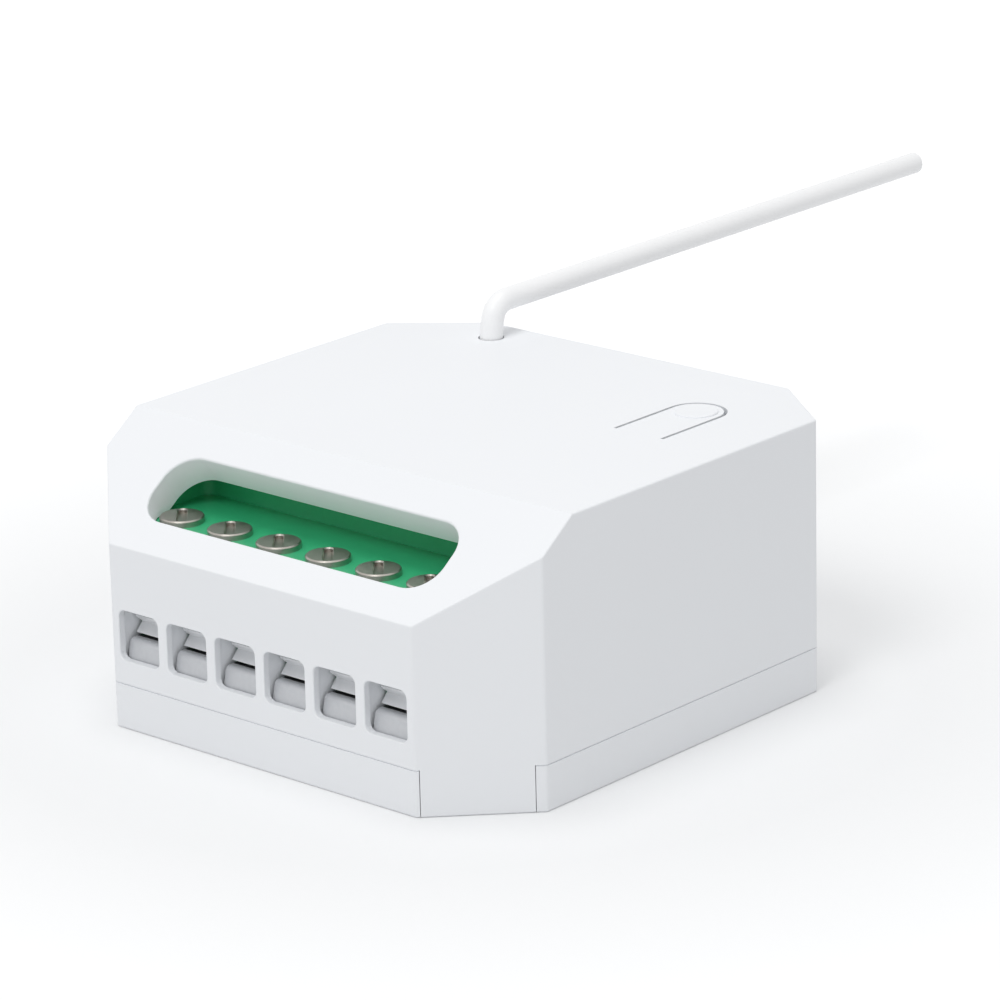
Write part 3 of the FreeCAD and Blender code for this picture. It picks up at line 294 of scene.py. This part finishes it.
# Contact springs and blades are rolled bronze, with rolling lines too fine to show.
rolled_bronze = surface("rolled bronze", "B07A45", "C08A52",
                        drift=0.0015, grain=0.0003, gloss=(0.26, 0.36), depth=2e-6, Metallic=1.0)
paint(rolled_bronze, *(f"relay_{n}_{piece}" for n in (1, 2) for piece in ("contact_spring", "fixed_contact")))

# The power supply: a ferrite transformer, two electrolytic capacitors in shrink sleeves with
# bare can tops, a boxed film capacitor, a dipped varistor and a lacquered fusible resistor.
ferrite = surface("sintered ferrite", "26272A", "303135",
                  drift=0.0009, grain=0.00022, gloss=(0.55, 0.72), depth=6e-6, IOR=1.8)
paint(ferrite, "transformer_core")
flange_ends = ("1C1C1E", "262628", 0.0, 0.55)
coil_tape = ended("polyester tape over a winding", ("D8A818", "E6BC34", 0.0, 0.3), flange_ends,
                  "Z", middle=0.01, half=0.0045, turns=0.0016)
paint(coil_tape, "transformer_coil")
# Each sleeve stops just short of the can's flat ends.
bare_rim = 0.00002
for name, height in (("main_capacitor", 0.012), ("output_capacitor", 0.011)):
    sleeve = ended(f"shrink-sleeved aluminium can, {name}", ("15171F", "1D2029", 0.0, 0.28), tinned_ends,
                   "Z", middle=board_top + height / 2, half=height / 2 - bare_rim)
    paint(sleeve, name)
film_box = ended("filled polyester box", ("C6BFA4", "D0C9AF", 0.0, 0.5), tinned_ends,
                 "Z", middle=board_top + 0.005, half=0.005)
paint(film_box, "film_capacitor")
varistor_coat = ended("dipped epoxy coat", ("1D3F96", "2549A6", 0.0, 0.3), tinned_ends,
                      "Z", middle=board_top + 0.0046, half=0.004)
paint(varistor_coat, "varistor")
resistor_low, resistor_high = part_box("fuse_resistor")
resistor_coat = ended("flameproof lacquer", ("4B6B52", "587A5F", 0.0, 0.4), tinned_ends,
                      "X", middle=(resistor_low[0] + resistor_high[0]) / 2, half=0.003)
paint(resistor_coat, "fuse_resistor")

# The controller is a small chip in black epoxy with four tinned legs along each long side.
chip_epoxy = ended("moulded black epoxy", ("1B1B1D", "222224", 0.0, 0.6), tinned_ends,
                   "Y", middle=0.0175, half=0.0012)
paint(chip_epoxy, "controller_chip")

# Inside the housing the antenna wire goes straight down to the board, still in its sleeve.
lead_vinyl = ended("PVC insulation and tinned core", ("F2F3F5", "F7F8F9", 0.0, 0.42), tinned_ends,
                   "Z", middle=board_top + 0.01, half=0.01)
paint(lead_vinyl, "antenna_lead")

# The terminal block is one green moulding that holds the six clamps. Its top and its rear wall
# show under the window. Polyamide has a soft sheen over a cloudy tone.
green_nylon = surface("green polyamide", "31AD75", "3AB981",
                      drift=0.0014, grain=0.0002, gloss=(0.3, 0.4), depth=1e-6, IOR=1.6)
paint(green_nylon, "terminal_housing")

# The terminal screws are turned steel with a wide flat head and a milled slot, nickel plated
# and a little dulled. They stand 5 mm apart, so the lathe's rings repeat about each; the rings
# are 0.05 mm apart, drawn at 0.2 mm so that they show.
poles = range(1, 7)
screw_spacing, screw_row, ring_spacing = 0.005, -0.0166, 0.0002
turned_steel, tree = new_material("turned steel, nickel plated")
place = coordinates(tree)
apart = add_node(tree, "ShaderNodeSeparateXYZ", {"Vector": place})
column = calculate(tree, "WRAP", apart.outputs["X"], screw_spacing, 0.0)
about = add_node(tree, "ShaderNodeCombineXYZ", {"X": column, "Y": apart.outputs["Y"]})
screw_axis = (screw_spacing / 2, screw_row, 0)
radius = add_node(tree, "ShaderNodeVectorMath", {"operation": "DISTANCE", 0: about.outputs[0], 1: screw_axis})
rings = calculate(tree, "SINE", calculate(tree, "MULTIPLY", radius.outputs["Value"], math.tau / ring_spacing))
wear = noise(tree, place, size=0.0006, detail=5, Roughness=0.65)
coat(tree, {
    "Base Color": blend(tree, wear, "A39E97", "BAB6AF"),
    "Metallic": 1.0,
    "Roughness": between(tree, wear, 0.24, 0.4),
    "Normal": relief(tree, rings, depth=1e-6),
})
paint(turned_steel, *(f"terminal_screw_{n}" for n in poles))


# The clamp cages are bent from zinc-plated steel strip and the contact bars above their jaws
# are tinned brass. Just behind their front edges both are painted dark as shade inside the
# clamp: the painted shade is full for 1.2 mm and gone at 3.5 mm.
def shaded_behind_edge(name, dark, light, metallic, roughness, edge):
    """A plated metal with painted shade that begins at edge, in metres along Y, and fades out behind it."""
    full_shade_to, shade_gone_at = edge + 0.0012, edge + 0.0035
    material, tree = new_material(name)
    place = coordinates(tree)
    along = add_node(tree, "ShaderNodeSeparateXYZ", {"Vector": place}).outputs["Y"]
    past_edge = calculate(tree, "GREATER_THAN", along, edge)
    fading = between(tree, along, 1.0, 0.0, start=full_shade_to, end=shade_gone_at, interpolation_type="SMOOTHSTEP")
    painted_shade = calculate(tree, "MULTIPLY", past_edge, fading)
    grain = noise(tree, place, size=0.0004, detail=3)
    coat(tree, {
        # Painted shade: the dark colour behind the front edge stands in for the shade inside the clamp.
        "Base Color": blend(tree, painted_shade, blend(tree, grain, dark, light), "343536"),
        "Metallic": metallic,
        "Roughness": between(tree, grain, roughness, roughness + 0.08),
        "Normal": relief(tree, grain, depth=0.000003),
    })
    return material


dull_zinc = shaded_behind_edge("steel strip, dull zinc plate", "C4C6CA", "D0D2D5",
                    metallic=0.4, roughness=0.48, edge=-0.0199)
paint(dull_zinc, *(f"clamp_cage_{n}" for n in poles))
tinned_brass = shaded_behind_edge("tinned brass", "E8EAEC", "F0F1F3",
                       metallic=0.15, roughness=0.4, edge=-0.0193)
paint(tinned_brass, *(f"contact_bar_{n}" for n in poles))


# The studio: a pale floor that keeps the object's shadow and turns white for the camera,
# an even white room, one lamp straight overhead and one high in front.
def seen_rays(tree):
    """1 for the rays that show the background: straight, mirrored or through glass."""
    rays = add_node(tree, "ShaderNodeLightPath").outputs
    direct = calculate(tree, "MAXIMUM", rays["Is Camera Ray"], rays["Is Glossy Ray"])
    return calculate(tree, "MAXIMUM", direct, rays["Is Transmission Ray"])


floor_half, floor_drop = 2.5, 0.00002
floor_mesh = bmesh.new()
bmesh.ops.create_grid(floor_mesh, x_segments=1, y_segments=1, size=floor_half)
bmesh.ops.translate(floor_mesh, vec=(0, 0, -floor_drop), verts=floor_mesh.verts)
floor = bpy.data.objects.new("floor", bpy.data.meshes.new("floor"))
floor_mesh.to_mesh(floor.data)
floor_mesh.free()
bpy.context.scene.collection.objects.link(floor)
# The glow that turns the paper white is weaker round the object, where its shadow falls.
shadow_radius, clear_radius = 0.036, 0.13
shadow_glow, clear_glow = 0.13, 0.5
paper, tree = new_material("white seamless paper")
distance = add_node(tree, "ShaderNodeVectorMath", {"operation": "LENGTH", 0: coordinates(tree)})
lift = between(tree, distance.outputs["Value"], shadow_glow, clear_glow,
               start=shadow_radius, end=clear_radius)
seen = calculate(tree, "MULTIPLY", lift, seen_rays(tree))
matt = add_node(tree, "ShaderNodeBsdfDiffuse", {"Color": linear("E7E8E9")})
glow = add_node(tree, "ShaderNodeEmission", {"Color": (1, 1, 1, 1), "Strength": seen})
both = add_node(tree, "ShaderNodeAddShader", {0: matt.outputs[0], 1: glow.outputs[0]})
add_node(tree, "ShaderNodeOutputMaterial", {"Surface": both.outputs[0]})
floor.data.materials.append(paper)

room_light, background_light = 0.6, 1.0
room = bpy.data.worlds.new("room")
bpy.context.scene.world = room
room.use_nodes = True
tree = room.node_tree
tree.nodes.clear()
strength = between(tree, seen_rays(tree), room_light, background_light)
sky = add_node(tree, "ShaderNodeBackground", {"Color": (1, 1, 1, 1), "Strength": strength})
add_node(tree, "ShaderNodeOutputWorld", {"Surface": sky.outputs[0]})

lamp_width, lamp_distance = 0.25, 0.6
for name, watts, come_from in (
    ("overhead lamp", 0.74, (-0.06, 0.02, 0.998)),
    ("front lamp", 0.78, (0.12, -0.6, 0.79)),
):
    lamp = bpy.data.objects.new(name, bpy.data.lights.new(name, "AREA"))
    lamp.data.shape = "DISK"
    lamp.data.size = lamp_width
    lamp.data.energy = watts
    stand = Vector(come_from) * lamp_distance
    lamp.matrix_world = Matrix.Translation(stand) @ stand.to_track_quat("Z", "Y").to_matrix().to_4x4()
    bpy.context.scene.collection.objects.link(lamp)
